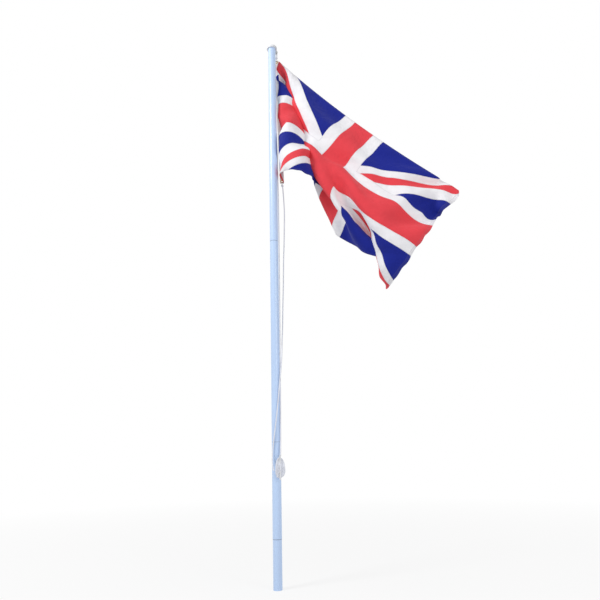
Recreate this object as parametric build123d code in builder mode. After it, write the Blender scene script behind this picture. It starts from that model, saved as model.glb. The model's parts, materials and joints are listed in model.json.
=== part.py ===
from build123d import *
from math import cos, hypot, pi, radians, sin, sqrt, tan
import os

os.makedirs("parts", exist_ok=True)

# Driving dimensions, in millimetres. The ground is Z = 0 and the pole's axis is the Z axis.
# The flag flies along +X, and -Y is the side that the cleat faces.
tube_od = 50.0
tube_wall = 1.8
sleeve_od = 48.6
sleeve_top = 245.0
lower_top = 745.0
middle_top = 1935.0
upper_top = 3333.0
sleeve_floor = 5.0
tube_edge = 0.5

ferrule_wall = 2.0
ferrule_length = 180.0
ferrule_clearance = 0.15

cap_od = 67.0
cap_rim = 15.0
cap_crown = 6.0
cap_rim_round = 4.0
cap_plug_length = 35.0
cap_plug_wall = 3.0
cap_clearance = 0.2

rope_dia = 7.0

pulley_azimuth = 60.0
pulley_height = 16.0
sheave_od = 28.0
sheave_width = 11.0
sheave_bore = 6.2
sheave_clearance = 1.5
axle_dia = 6.0
axle_head_dia = 10.0
axle_head = 2.0
bracket_plate = 3.0
bracket_height = 15.0
bracket_cheek = 2.0
bracket_side_gap = 0.6
bracket_stud_dia = 6.0
bracket_stud_length = 18.0
stud_clearance = 0.1

cleat_azimuth = -65.0
cleat_height = 610.0
cleat_length = 128.0
cleat_horn_dia = 12.0
cleat_tip_dia = 8.0
cleat_standoff = 24.0
cleat_post_dia = 12.0
cleat_post_spacing = 28.0
cleat_base_length = 84.0
cleat_base_width = 22.0
cleat_base_thickness = 5.0
screw_dia = 4.8
screw_head_dia = 9.5
screw_head = 3.0
screw_spacing = 62.0
screw_clearance = 0.2
cleat_seat_gap = 0.05

turns_height = 118.0
turns_width = 62.0
turns_thickness = 24.0
turns_corner = 24.0
turns_gap = 0.4
turns_round = 8.0

hoist_top_x = 40.0
hoist_bottom_x = 66.0
hoist_top_z = 3290.0
hoist_drop = 934.0
flag_thickness = 3.0
heading_width = 26.0
heading_thickness = 1.8
heading_y = 58.0
seam_gap = 0.3
grommet_inset = 14.0
grommet_bore = 10.0
grommet_od = 20.0
grommet_lip = 1.0
grommet_clearance = 0.1
clip_wire = 3.2
clip_length = 26.0
clip_width = 14.0
knot_dia = 15.0
knot_seat = 2.5
knot_shift = 2.5
knot_gap = 0.3
clip_seat = 0.7

# What follows from them.
tube_r = tube_od / 2
tube_id = tube_od - 2 * tube_wall
sleeve_r = sleeve_od / 2
sleeve_id = sleeve_od - 2 * tube_wall
rope_r = rope_dia / 2
screw_length = cleat_base_thickness + tube_wall
cap_r = cap_od / 2
sheave_pitch_r = sheave_od / 2 - rope_r + 0.5
sheave_radial = cap_r + bracket_plate + sheave_clearance + sheave_od / 2
sheave_z = upper_top + pulley_height
outer_leg_radial = sheave_radial + sheave_pitch_r
inner_leg_radial = sheave_radial - sheave_pitch_r


def export(solid, label):
    """Writes one finished piece as its own STEP file."""
    solid.label = label
    export_step(solid, f"parts/{label}.step")


def around(azimuth, radial, z=0.0):
    """A point at a compass angle and a distance from the pole's axis."""
    a = radians(azimuth)
    return (radial * cos(a), radial * sin(a), z)


def radial_frame(azimuth, radial, z):
    """A plane whose normal points away from the pole and whose Y runs up it."""
    a = radians(azimuth)
    return Plane(origin=around(azimuth, radial, z), x_dir=(-sin(a), cos(a), 0), z_dir=(cos(a), sin(a), 0))


# The ground sleeve: the short stub that stands in the ground and carries the pole.
with BuildPart() as ground_sleeve:
    with BuildSketch():
        Circle(sleeve_r)
    extrude(amount=sleeve_top)
    with BuildSketch(Plane.XY.offset(sleeve_floor)):
        Circle(sleeve_id / 2)
    extrude(amount=sleeve_top - sleeve_floor, mode=Mode.SUBTRACT)
    chamfer(ground_sleeve.edges().group_by(Axis.Z)[-1].sort_by(SortBy.RADIUS)[-1], tube_edge)
export(ground_sleeve.part, "ground_sleeve")


def tube_section(bottom, top):
    """A plain tube with its outer edges broken, from one joint to the next."""
    with BuildPart() as section:
        with BuildSketch(Plane.XY.offset(bottom)):
            Circle(tube_r)
            Circle(tube_id / 2, mode=Mode.SUBTRACT)
        extrude(amount=top - bottom)
        ends = section.edges().filter_by(GeomType.CIRCLE)
        chamfer([e for e in ends if abs(e.radius - tube_r) < tube_edge], tube_edge)
    return section.part


sections = {
    "lower_tube": (sleeve_top, lower_top),
    "middle_tube": (lower_top, middle_top),
    "upper_tube": (middle_top, upper_top),
}
cleat_plane = radial_frame(cleat_azimuth, 0, cleat_height)
for section_name, (section_bottom, section_top) in sections.items():
    with BuildPart() as pole_tube:
        add(tube_section(section_bottom, section_top))
        if section_bottom < cleat_height < section_top:
            with BuildSketch(cleat_plane.offset(tube_r + 1)):
                with GridLocations(0, screw_spacing, 1, 2):
                    Circle(screw_dia / 2 + screw_clearance)
            extrude(amount=-2 * tube_wall - 2, mode=Mode.SUBTRACT)
    export(pole_tube.part, section_name)


def ferrule(joint_z, lower_bore):
    """The sleeve inside a joint: its lower half sits in one bore, its upper half in the tube above."""
    lower_r = lower_bore / 2 - ferrule_clearance
    upper_r = tube_id / 2 - ferrule_clearance
    with BuildPart() as sleeve:
        for r, start in ((lower_r, joint_z - ferrule_length / 2), (upper_r, joint_z)):
            with BuildSketch(Plane.XY.offset(start)):
                Circle(r)
            extrude(amount=ferrule_length / 2)
        with BuildSketch(Plane.XY.offset(joint_z - ferrule_length / 2)):
            Circle(min(lower_r, upper_r) - ferrule_wall)
        extrude(amount=ferrule_length, mode=Mode.SUBTRACT)
    return sleeve.part


export(ferrule(sleeve_top, sleeve_id), "ground_ferrule")
export(ferrule(lower_top, tube_id), "lower_ferrule")
export(ferrule(middle_top, tube_id), "upper_ferrule")

# The cap: a mushroom disc with a low crown, on a plug that fits the top tube.
with BuildPart() as pole_cap:
    with BuildSketch(Plane.XZ):
        with BuildLine():
            crown_top = upper_top + cap_rim + cap_crown
            rim_top = upper_top + cap_rim
            Polyline((0, crown_top), (0, upper_top), (cap_r, upper_top), (cap_r, rim_top))
            ThreePointArc((cap_r, rim_top), (cap_r * 0.55, rim_top + cap_crown * 0.72), (0, crown_top))
        make_face()
    revolve(axis=Axis.Z)
    rim = pole_cap.edges().filter_by(GeomType.CIRCLE).filter_by(lambda e: abs(e.radius - cap_r) < 0.01)
    fillet(rim.sort_by(Axis.Z)[-1], cap_rim_round)
    chamfer(rim.sort_by(Axis.Z)[0], 1.0)
    plug_r = tube_id / 2 - cap_clearance
    with BuildSketch(Plane.XY.offset(upper_top - cap_plug_length)):
        Circle(plug_r)
        Circle(plug_r - cap_plug_wall, mode=Mode.SUBTRACT)
    extrude(amount=cap_plug_length)
    with BuildSketch(radial_frame(pulley_azimuth, cap_r + 1, upper_top + bracket_height / 2)):
        Circle(bracket_stud_dia / 2 + stud_clearance)
    extrude(amount=-(bracket_stud_length + 2), mode=Mode.SUBTRACT)
export(pole_cap.part, "pole_cap")

# The pulley's bracket: a back plate and two cheeks beside the sheave, with a stud into the cap.
cheek_inner = sheave_width / 2 + bracket_side_gap
cheek_outer = cheek_inner + bracket_cheek
with BuildPart() as pulley_bracket:
    plate_plane = radial_frame(pulley_azimuth, cap_r + bracket_plate, upper_top + bracket_height / 2)
    with BuildSketch(plate_plane):
        Rectangle(2 * cheek_outer, bracket_height)
    extrude(amount=-bracket_plate - 2)
    with BuildSketch(Plane.XY.offset(upper_top - 1)):
        Circle(cap_r + stud_clearance)
    extrude(amount=bracket_height + 2, mode=Mode.SUBTRACT)
    tangent = radial_frame(pulley_azimuth, 0, 0).x_dir
    for side in (-1, 1):
        cheek_plane = Plane(
            origin=tangent * (side * cheek_inner),
            x_dir=around(pulley_azimuth, 1),
            z_dir=tangent * side,
        )
        arm_start = cap_r + bracket_plate / 2
        with BuildSketch(cheek_plane):
            with Locations(((arm_start + sheave_radial) / 2, -side * (upper_top + bracket_height / 2))):
                Rectangle(sheave_radial - arm_start, bracket_height)
            with Locations((sheave_radial, -side * sheave_z)):
                Circle(bracket_height / 2)
                Circle(axle_dia / 2 + stud_clearance, mode=Mode.SUBTRACT)
        extrude(amount=bracket_cheek)
    with BuildSketch(radial_frame(pulley_azimuth, cap_r - bracket_stud_length, upper_top + bracket_height / 2)):
        Circle(bracket_stud_dia / 2)
    extrude(amount=bracket_stud_length + bracket_plate - 0.5)
export(pulley_bracket.part, "pulley_bracket")

# The sheave: a grooved wheel, and the axle that it turns on, headed at both ends.
with BuildPart() as pulley_sheave:
    with BuildSketch(Plane.XZ):
        with BuildLine():
            half = sheave_width / 2
            rim_r = sheave_od / 2
            groove_r = sheave_pitch_r - rope_r
            Polyline((sheave_bore / 2, -half), (rim_r, -half), (rim_r, 1 - half))
            ThreePointArc((rim_r, 1 - half), (groove_r, 0), (rim_r, half - 1))
            Polyline((rim_r, half - 1), (rim_r, half), (sheave_bore / 2, half), (sheave_bore / 2, -half))
        make_face()
    revolve(axis=Axis.Z)
sheave_place = Plane(
    origin=around(pulley_azimuth, sheave_radial, sheave_z),
    x_dir=around(pulley_azimuth, 1),
    z_dir=tangent,
).location
export(pulley_sheave.part.moved(sheave_place), "pulley_sheave")

with BuildPart() as pulley_axle:
    with BuildSketch(Plane.XY.offset(-cheek_outer)):
        Circle(axle_dia / 2)
    extrude(amount=2 * cheek_outer)
    for side in (-1, 1):
        with BuildSketch(Plane.XY.offset(side * cheek_outer)):
            Circle(axle_head_dia / 2)
        extrude(amount=side * axle_head)
    rims = pulley_axle.edges().filter_by(GeomType.CIRCLE)
    fillet([e for e in rims if abs(e.arc_center.Z) > cheek_outer + axle_head / 2], axle_head * 0.45)
export(pulley_axle.part.moved(sheave_place), "pulley_axle")

# The cleat: a pad against the pole, two posts and a bar whose horns taper and turn slightly outwards.
bar_offset = tube_r + cleat_standoff


def cleat_solid(grow=0.0, with_base=True):
    """The cleat, or with grow the space that rope wound on it leaves for it."""
    with BuildPart() as body:
        for side in (-1, 1):
            with BuildSketch(cleat_plane.offset(tube_r - 1)):
                with Locations((0, side * cleat_post_spacing / 2)):
                    Circle(cleat_post_dia / 2 + grow)
            extrude(amount=cleat_standoff + 1)
            middle = Plane(origin=cleat_plane.from_local_coords((0, 0, bar_offset)), z_dir=(0, 0, side))
            tip = middle.offset(cleat_length / 2 + grow)
            with BuildSketch(middle):
                Circle(cleat_horn_dia / 2 + grow)
            with BuildSketch(tip):
                lean = around(cleat_azimuth, 4.0)
                with Locations(tip.to_local_coords(Vector(*lean) + tip.origin)):
                    Circle(cleat_tip_dia / 2 + grow)
            loft()
        if with_base:
            with BuildSketch(cleat_plane.offset(tube_r + cleat_base_thickness)):
                SlotOverall(cleat_base_length, cleat_base_width, rotation=90)
            extrude(amount=-cleat_base_thickness - 6)
        with BuildSketch(Plane.XY.offset(cleat_height - cleat_length)):
            Circle(tube_r + cleat_seat_gap)
        extrude(amount=2 * cleat_length, mode=Mode.SUBTRACT)
    return body


with BuildPart() as cleat:
    add(cleat_solid().part)
    with BuildSketch(cleat_plane.offset(tube_r + cleat_base_thickness)):
        with GridLocations(0, screw_spacing, 1, 2):
            Circle(screw_dia / 2 + screw_clearance)
    extrude(amount=-2 * cleat_base_thickness - 2, mode=Mode.SUBTRACT)
export(cleat.part, "cleat")


# Two pan-head screws through the pad into the tube's wall.
with BuildPart() as cleat_screw:
    with BuildSketch(Plane.XY.offset(-screw_length)):
        Circle(screw_dia / 2)
    extrude(amount=screw_length)
    with BuildSketch():
        Circle(screw_head_dia / 2)
    extrude(amount=screw_head)
    fillet(cleat_screw.edges().group_by(Axis.Z)[-1], screw_head * 0.6)
for side, label in ((1, "upper_cleat_screw"), (-1, "lower_cleat_screw")):
    seat = radial_frame(cleat_azimuth, tube_r + cleat_base_thickness, cleat_height + side * screw_spacing / 2)
    export(cleat_screw.part.moved(seat.location), label)

# The spare rope, wound over the cleat: one closed solid of the outer shape of its turns.
turns_back = tube_r + cleat_base_thickness + screw_head + turns_gap
with BuildPart() as halyard_turns:
    with BuildSketch(cleat_plane.offset(turns_back)):
        RectangleRounded(turns_width, turns_height, turns_corner)
    extrude(amount=turns_thickness)
    fillet(halyard_turns.faces().filter_by(Axis((0, 0, 0), cleat_plane.z_dir)).edges(), turns_round)
    add(cleat_solid(grow=turns_gap, with_base=False).part, mode=Mode.SUBTRACT)
export(halyard_turns.part, "halyard_turns")


def rope_tube(points, tight=None):
    """A round rope of straight runs joined by arcs as large as the runs allow.

    tight gives the radius at the corners that go round something, by their place in points.
    """
    tight = tight or {}
    spots = [Vector(*p) for p in points]
    runs = [b - a for a, b in zip(spots, spots[1:])]
    radii = []
    for i, (before, after) in enumerate(zip(runs, runs[1:]), start=1):
        half_turn = radians(before.get_angle(after)) / 2
        radii.append(tight.get(i, 0.45 * min(before.length, after.length) / tan(half_turn)))
    print("rope radii", [round(r, 1) for r in radii])
    with BuildPart() as tube:
        with BuildLine() as route:
            FilletPolyline(*spots, radius=radii)
        with BuildSketch(Plane(origin=spots[0], z_dir=runs[0])):
            Circle(rope_r)
        sweep(path=route.wires()[0])
    expected = pi * rope_r**2 * route.wires()[0].length
    print("rope length", round(route.wires()[0].length), "volume ratio", round(tube.part.volume / expected, 4))
    return tube.part


# The hoist: where the flag's heading runs, from its upper to its lower corner, seen from the front.
hoist_top = Vector(hoist_top_x, heading_y, hoist_top_z)
hoist_bottom = Vector(hoist_bottom_x, heading_y, hoist_top_z - hoist_drop)
hoist_line = (hoist_bottom - hoist_top).normalized()
across = Vector(-1, 0, 0)
upper_eye = hoist_top + hoist_line * grommet_inset + across * (heading_width / 2)
lower_eye = hoist_bottom - hoist_line * grommet_inset + across * (heading_width / 2)
clip_hang = grommet_bore / 2 - clip_wire / 2 - clip_seat

with BuildPart() as flag_heading:
    with BuildSketch(Plane.XZ.offset(-(heading_y + heading_thickness / 2))):
        with BuildLine():
            Polyline(
                (hoist_top.X, hoist_top.Z),
                (hoist_bottom.X, hoist_bottom.Z),
                (hoist_bottom.X - heading_width, hoist_bottom.Z),
                (hoist_top.X - heading_width, hoist_top.Z),
                close=True,
            )
        make_face()
        with Locations((upper_eye.X, upper_eye.Z), (lower_eye.X, lower_eye.Z)):
            Circle(grommet_bore / 2 + grommet_lip + grommet_clearance, mode=Mode.SUBTRACT)
    extrude(amount=heading_thickness)
export(flag_heading.part, "flag_heading")

# A grommet: a barrel through the heading with a lip on each face.
with BuildPart() as grommet:
    barrel_half = heading_thickness / 2 + grommet_clearance
    with BuildSketch():
        Circle(grommet_bore / 2 + grommet_lip)
    extrude(amount=barrel_half + grommet_lip, both=True)
    for side in (-1, 1):
        with BuildSketch(Plane.XY.offset(side * barrel_half)):
            Circle(grommet_od / 2)
        extrude(amount=side * grommet_lip)
    with BuildSketch(Plane.XY.offset(-2 * barrel_half)):
        Circle(grommet_bore / 2)
    extrude(amount=6 * barrel_half, both=True, mode=Mode.SUBTRACT)


def clip_loop(grow=0.0):
    """An oval wire loop that stands on its lower bend, or with grow the space that a knot leaves for it."""
    bend = clip_width / 2
    straight = clip_length - clip_width
    with BuildPart() as loop:
        with BuildSketch():
            with Locations((-bend, 0), (bend, 0)):
                Circle(clip_wire / 2 + grow)
        extrude(amount=straight)
        for z, way in ((0, 1), (straight, -1)):
            with BuildSketch(Plane.XY.offset(z)):
                with Locations((bend, 0)):
                    Circle(clip_wire / 2 + grow)
            revolve(axis=Axis((0, 0, z), (0, way, 0)), revolution_arc=180)
    return loop.part


def clip_place(bottom):
    """Where a loop stands: its lower bend's middle at the given point, its flat side facing along X."""
    return Plane(origin=bottom + Vector(0, 0, clip_width / 2), x_dir=(0, 1, 0), z_dir=(0, 0, 1)).location


eye_turn = Plane(origin=upper_eye, z_dir=(0, 1, 0)).location
export(grommet.part.moved(eye_turn), "upper_grommet")
export(grommet.part.moved(Plane(origin=lower_eye, z_dir=(0, 1, 0)).location), "lower_grommet")

upper_clip_bottom = upper_eye + Vector(0, 0, clip_hang)
lower_clip_bottom = lower_eye - Vector(0, 0, clip_hang + clip_length)
upper_knot_centre = upper_clip_bottom + Vector(knot_shift, -knot_shift, clip_length + knot_seat)
lower_knot_centre = lower_clip_bottom + Vector(knot_shift, -knot_shift, -knot_seat)
for label, bottom, knot_centre in (
    ("upper", upper_clip_bottom, upper_knot_centre),
    ("lower", lower_clip_bottom, lower_knot_centre),
):
    export(clip_loop().moved(clip_place(bottom)), f"{label}_clip")
    with BuildPart() as knot:
        with Locations(knot_centre):
            Sphere(knot_dia / 2)
        add(clip_loop(grow=knot_gap).moved(clip_place(bottom)), mode=Mode.SUBTRACT)
    export(knot.part, f"{label}_knot")

# The halyard's short leg, from the sheave to the upper knot.
leg_top = Vector(*around(pulley_azimuth, outer_leg_radial, sheave_z - 1 - knot_gap))
off_centre = hypot(leg_top.X - upper_knot_centre.X, leg_top.Y - upper_knot_centre.Y)
knot_crown = sqrt((knot_dia / 2) ** 2 - max(off_centre - rope_r, 0) ** 2)
leg_bottom_z = upper_knot_centre.Z + knot_crown + knot_gap
with BuildPart() as halyard_upper_leg:
    with BuildSketch(Plane(origin=(leg_top.X, leg_top.Y, leg_bottom_z))):
        Circle(rope_r)
    extrude(amount=leg_top.Z - leg_bottom_z)
export(halyard_upper_leg.part, "halyard_upper_leg")

# The halyard over the sheave and down the pole's right side to the cleat, where it lies under tension.
over_z = sheave_z + sheave_pitch_r
return_points = [
    around(pulley_azimuth, outer_leg_radial, sheave_z - 1),
    around(pulley_azimuth, outer_leg_radial, over_z),
    around(pulley_azimuth, inner_leg_radial, over_z),
    around(pulley_azimuth, inner_leg_radial, 3290.0),
    around(58, 31.0, 3150.0),
    around(52, 30.8, 2950.0),
    around(45, 31.0, 2720.0),
    around(25, 31.2, 2430.0),
    around(6, 31.2, 2120.0),
    around(-6, 31.0, 1750.0),
    around(-18, 31.2, 1350.0),
    around(-28, 31.0, 1000.0),
    around(-35, 31.5, 800.0),
    around(-43, 34.0, 730.0),
    (24.5, -30.0, 697.0),
    (24.5, -36.0, 670.6),
]
wrap = sheave_pitch_r - 0.1
export(rope_tube(return_points, tight={1: wrap, 2: wrap}), "halyard_return_leg")

# The halyard's slack leg: it hangs from the lower knot, crosses the front of the pole and ends at the cleat.
lower_leg_points = [
    (lower_knot_centre.X + 2, lower_knot_centre.Y, lower_knot_centre.Z - knot_dia / 2 - knot_gap),
    (60, 53, 2280),
    (65, 49, 2200),
    (66, 44, 2110),
    (63, 39, 2015),
    (61, 35, 1920),
    (56, 29, 1825),
    (54.5, 23, 1725),
    (52, 18, 1625),
    (48, 13, 1525),
    (46, 7, 1425),
    (41.5, 0, 1330),
    (39, -11.5, 1235),
    (33.5, -21.5, 1150),
    (22, -26.5, 1050),
    (13, -29.5, 950),
    (3, -31, 865),
    (-8, -31, 785),
    (-16, -27.5, 720),
    (-20, -29, 680),
    (-21, -37, 645),
    (-18.5, -48, 618),
    (-12, -56.4, 594),
]
export(rope_tube(lower_leg_points), "halyard_lower_leg")


def cloth_normal(rows, i, j):
    """The way the cloth faces at one place, square to the lines through its neighbours."""
    if i == 0:
        return Vector(0, 1, 0)
    across_rows = rows[min(i + 1, len(rows) - 1)][j] - rows[i - 1][j]
    down_row = rows[i][min(j + 1, len(rows[i]) - 1)] - rows[i][max(j - 1, 0)]
    return across_rows.cross(down_row).normalized()


def cloth_side(rows, offset):
    """Smooth lines down one side of the cloth, at a distance from the middle of its thickness."""
    spots = [[p + cloth_normal(rows, i, j) * offset for j, p in enumerate(row)] for i, row in enumerate(rows)]
    return [Edge.make_spline(line) for line in spots]


# The flag, by lines that run down the cloth from its top edge to its bottom edge, first beside the heading
# and then ever nearer to the fly. The hoist end bulges to the front, the cloth tucks in behind it, and
# the rest comes out again and hangs in folds from a top edge that is pulled straight.
seam = [hoist_top + (hoist_bottom - hoist_top) * (i / 5) + Vector(seam_gap, 0, 0) for i in range(6)]
cloth_lines = [
    [(110, 53, 3220), (90, 98, 3075), (115, 20, 2920), (110, -18, 2765), (115, -45, 2570), (90, -60, 2372)],
    [(185, 49, 3140), (110, 55, 3015), (150, 115, 2940), (185, 0, 2710), (190, -60, 2560), (160, -75, 2370)],
    [(265, 46, 3055), (175, 42, 2930), (175, 190, 2900), (215, 95, 2700), (225, -10, 2510), (225, -45, 2350)],
    [(350, 44, 2970), (255, 38, 2860), (190, 110, 2800), (240, 190, 2665), (265, 85, 2500), (265, 35, 2340)],
    [(440, 41, 2885), (350, 30, 2765), (225, 40, 2640), (245, 100, 2550), (315, 185, 2450), (340, 140, 2320)],
    [(545, 42, 2785), (450, 22, 2665), (315, 10, 2535), (290, 5, 2400), (300, 60, 2280), (370, 180, 2200)],
    [(665, 45, 2680), (565, 15, 2560), (445, 0, 2435), (400, -25, 2280), (395, 15, 2155), (375, 105, 2050)],
    [(780, 45, 2595), (675, 15, 2475), (550, 0, 2345), (480, 0, 2205), (455, -5, 2095), (470, 105, 1970)],
    [(905, 48, 2500), (790, 20, 2385), (670, 0, 2260), (580, 40, 2140), (560, 20, 2000), (530, 55, 1895)],
    [(1030, 50, 2400), (910, 25, 2290), (790, -10, 2160), (700, 30, 2050), (640, 100, 1945), (580, 120, 1855)],
    [(1120, 45, 2330), (1000, 15, 2220), (890, -20, 2090), (775, 0, 1970), (695, 75, 1865), (645, 180, 1775)],
    [(1190, 45, 2270), (1080, -5, 2125), (975, -40, 2000), (875, -50, 1860), (775, 35, 1755), (700, 200, 1665)],
]
cloth_rows = [seam] + [[Vector(*p) for p in line] for line in cloth_lines]
far_side = cloth_side(cloth_rows, flag_thickness / 2)
near_side = cloth_side(cloth_rows, -flag_thickness / 2)
patches = [Face.make_surface_from_curves(far_side[i], near_side[i]) for i in (0, -1)]
for i in range(len(cloth_rows) - 1):
    for side in (far_side, near_side):
        patches.append(Face.make_surface_from_curves(side[i], side[i + 1]))
    for end in (0, 1):
        far_hem = Edge.make_line(far_side[i] @ end, far_side[i + 1] @ end)
        near_hem = Edge.make_line(near_side[i] @ end, near_side[i + 1] @ end)
        patches.append(Face.make_surface_from_curves(far_hem, near_hem))
with BuildPart() as flag_cloth:
    add(Solid(Shell(patches)))
export(flag_cloth.part, "flag_cloth")
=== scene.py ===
import json
from functools import partial
from math import cos, pi, radians, sin
import bpy
import numpy as np
from mathutils import Matrix, Vector


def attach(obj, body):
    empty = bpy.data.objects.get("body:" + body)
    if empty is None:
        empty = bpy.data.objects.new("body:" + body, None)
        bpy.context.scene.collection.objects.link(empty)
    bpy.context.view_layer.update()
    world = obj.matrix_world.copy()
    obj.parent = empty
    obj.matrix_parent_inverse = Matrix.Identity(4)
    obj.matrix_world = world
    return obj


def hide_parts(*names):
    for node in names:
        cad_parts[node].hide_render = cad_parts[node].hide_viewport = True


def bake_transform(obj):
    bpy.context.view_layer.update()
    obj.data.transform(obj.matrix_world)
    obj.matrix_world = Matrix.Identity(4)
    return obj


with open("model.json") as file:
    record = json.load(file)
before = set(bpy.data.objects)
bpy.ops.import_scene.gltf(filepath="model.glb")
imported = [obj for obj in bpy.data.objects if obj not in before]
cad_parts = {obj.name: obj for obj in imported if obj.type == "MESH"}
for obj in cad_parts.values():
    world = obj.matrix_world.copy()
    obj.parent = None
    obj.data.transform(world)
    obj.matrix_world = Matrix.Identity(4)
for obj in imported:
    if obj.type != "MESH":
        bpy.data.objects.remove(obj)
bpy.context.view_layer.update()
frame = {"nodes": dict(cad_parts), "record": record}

nodes = frame["nodes"]


def linear(hexColour):
    # an sRGB hex colour as the linear values that a shader socket takes
    parts = [int(hexColour[i:i + 2], 16) / 255 for i in (1, 3, 5)]
    return [c / 12.92 if c <= 0.04045 else ((c + 0.055) / 1.055) ** 2.4 for c in parts] + [1.0]


def gridMesh(name, points, uv, material, wrapU=False, wrapV=False, capEnds=False):
    # points[i, j] is a surface on a grid of two parameters; wrapU or wrapV joins its last row to its first,
    # and capEnds closes the first and last ring. uv has one more row or column where the surface is joined
    nu, nv = points.shape[:2]
    i, j = np.meshgrid(np.arange(nu - (not wrapU)), np.arange(nv - (not wrapV)), indexing="ij")
    i2, j2 = (i + 1) % nu, (j + 1) % nv
    faces = np.stack([i * nv + j, i2 * nv + j, i2 * nv + j2, i * nv + j2], -1).reshape(-1, 4).tolist()
    corners = np.stack([uv[i, j], uv[i + 1, j], uv[i + 1, j + 1], uv[i, j + 1]], 2).reshape(-1, 2)
    if capEnds:
        faces += [list(range(nv)), list(range((nu - 1) * nv, nu * nv))[::-1]]
        corners = np.vstack([corners, uv[0, :nv], uv[nu - 1, :nv][::-1]])
    mesh = bpy.data.meshes.new(name)
    mesh.from_pydata(points.reshape(-1, 3).tolist(), [], faces)
    mesh.uv_layers.new(name="surface").data.foreach_set("uv", corners.ravel().astype(np.float32))
    mesh.polygons.foreach_set("use_smooth", np.ones(len(faces), bool))
    mesh.materials.append(material)
    mesh.update()
    piece = bpy.data.objects.new(name, mesh)
    bpy.context.scene.collection.objects.link(piece)
    return piece


def routeLine(name, points):
    # the smooth line of a rope's route: an open NURBS spline with the route's points as its control points
    curve = bpy.data.curves.new(name, "CURVE")
    curve.dimensions = "3D"
    curve.resolution_u = 24
    spline = curve.splines.new("NURBS")
    spline.points.add(len(points) - 1)
    for knot, p in zip(spline.points, points):
        knot.co = (*p, 1)
    spline.order_u = 3
    spline.use_endpoint_u = True
    holder = bpy.data.objects.new(name, curve)
    bpy.context.scene.collection.objects.link(holder)
    bpy.context.view_layer.update()
    mesh = bpy.data.meshes.new_from_object(holder)
    line = np.empty(len(mesh.vertices) * 3)
    mesh.vertices.foreach_get("co", line)
    bpy.data.objects.remove(holder)
    bpy.data.meshes.remove(mesh)
    line = line.reshape(-1, 3)
    return line[np.r_[True, np.linalg.norm(np.diff(line, axis=0), axis=1) > 1e-6]]  # without doubled points


def lineLength(line):
    # the sum of its steps
    return float(np.linalg.norm(np.diff(line, axis=0), axis=1).sum())


def evenLine(line, step):
    # the same line with its points an even step apart, read along its own length
    along = np.r_[0, np.cumsum(np.linalg.norm(np.diff(line, axis=0), axis=1))]
    steps = np.linspace(0, along[-1], max(int(along[-1] / step), 2) + 1)
    return np.stack([np.interp(steps, along, line[:, k]) for k in range(3)], 1), steps


def carriedFrames(line):
    # two directions across a line that turn as little as they can from point to point
    ahead = np.gradient(line, axis=0)
    ahead /= np.linalg.norm(ahead, axis=1, keepdims=True)
    side = np.zeros_like(line)
    # the first lies across the vertical, or across x where the line starts nearly upright
    first = np.cross(ahead[0], (0, 0, 1.0) if abs(ahead[0, 2]) < 0.9 else (1.0, 0, 0))
    side[0] = first / np.linalg.norm(first)
    for k in range(1, len(line)):  # each frame needs the one before it
        s = side[k - 1] - ahead[k] * (side[k - 1] @ ahead[k])
        side[k] = s / np.linalg.norm(s)
    return side, np.cross(ahead, side)


def ringsAlong(line, side, up, around, radius):
    # a tube: about each point of the line a ring of the given radii, from the side direction round by the up one
    across = np.cos(around)[None, :, None] * side[:, None] + np.sin(around)[None, :, None] * up[:, None]
    return line[:, None] + radius[..., None] * across


def ropeTube(name, line, rope, material):
    # a laid rope: at each point of the line a ring whose radius swells at each strand, and the strands
    # turn about the line by one turn in each length of lay; both its ends are rounded off
    line, along = evenLine(line, rope["ringStep"])
    side, up = carriedFrames(line)
    around = np.linspace(0, 2 * pi, rope["sides"], endpoint=False)
    twist = 2 * pi * along / rope["lay"]
    lobes = np.abs(np.cos(rope["strands"] / 2 * (around[None] - twist[:, None])))
    radius = rope["diameter"] / 2 * (1 - rope["groove"] * (1 - lobes) ** 2)
    ends = np.minimum(np.minimum(along, along[-1] - along) / (rope["diameter"] / 2), 1)
    radius = radius * np.sqrt(1 - (1 - ends[:, None]) ** 2 * rope["endRound"])
    turn = np.linspace(0, 1, len(around) + 1)[None] - (twist / (2 * pi))[:, None]
    uv = np.stack([turn, np.broadcast_to((along / (pi * rope["diameter"]))[:, None], turn.shape)], -1)
    points = ringsAlong(line, side, up, around, radius)
    return gridMesh(name, points, uv, material, wrapV=True, capEnds=True), line


def newMaterial(name):
    material = bpy.data.materials.new(name)
    material.use_nodes = True
    material.node_tree.nodes.clear()
    return material


def addNode(material, kind, *inputs, **settings):
    # adds a node by its kind, with its operation or data type after a space. The inputs fill its sockets in
    # order; a setting is one of its properties or a socket's name, with _ for a space. What is given may be
    # a value, another node, which links its first output, or one of its outputs; None leaves a socket alone
    tree = material.node_tree
    kind, _, mode = kind.partition(" ")
    node = tree.nodes.new("ShaderNode" + kind)
    if mode:
        setattr(node, "operation" if hasattr(node, "operation") else "data_type", mode)
    given = list(zip([socket for socket in node.inputs if socket.enabled], inputs))
    for name, value in settings.items():
        if hasattr(node, name):
            setattr(node, name, value)
        else:
            given.append((node.inputs[name.replace("_", " ")], value))
    for socket, value in given:
        if isinstance(value, bpy.types.Node):
            value = next(output for output in value.outputs if output.enabled)
        if isinstance(value, bpy.types.NodeSocket):
            tree.links.new(socket, value)
        elif value is not None:
            socket.default_value = value
    return node


def perMetre(size):
    # a pattern's scale from the real size of its grain in mm
    return 1000 / size


def soiledShare(material, noise, level, strength):
    # how soiled each spot is: nothing where the noise is under the level, and more the higher it is
    above = addNode(material, "Math SUBTRACT", noise, level, use_clamp=True)
    return addNode(material, "Math MULTIPLY", above, strength, use_clamp=True)


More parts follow.
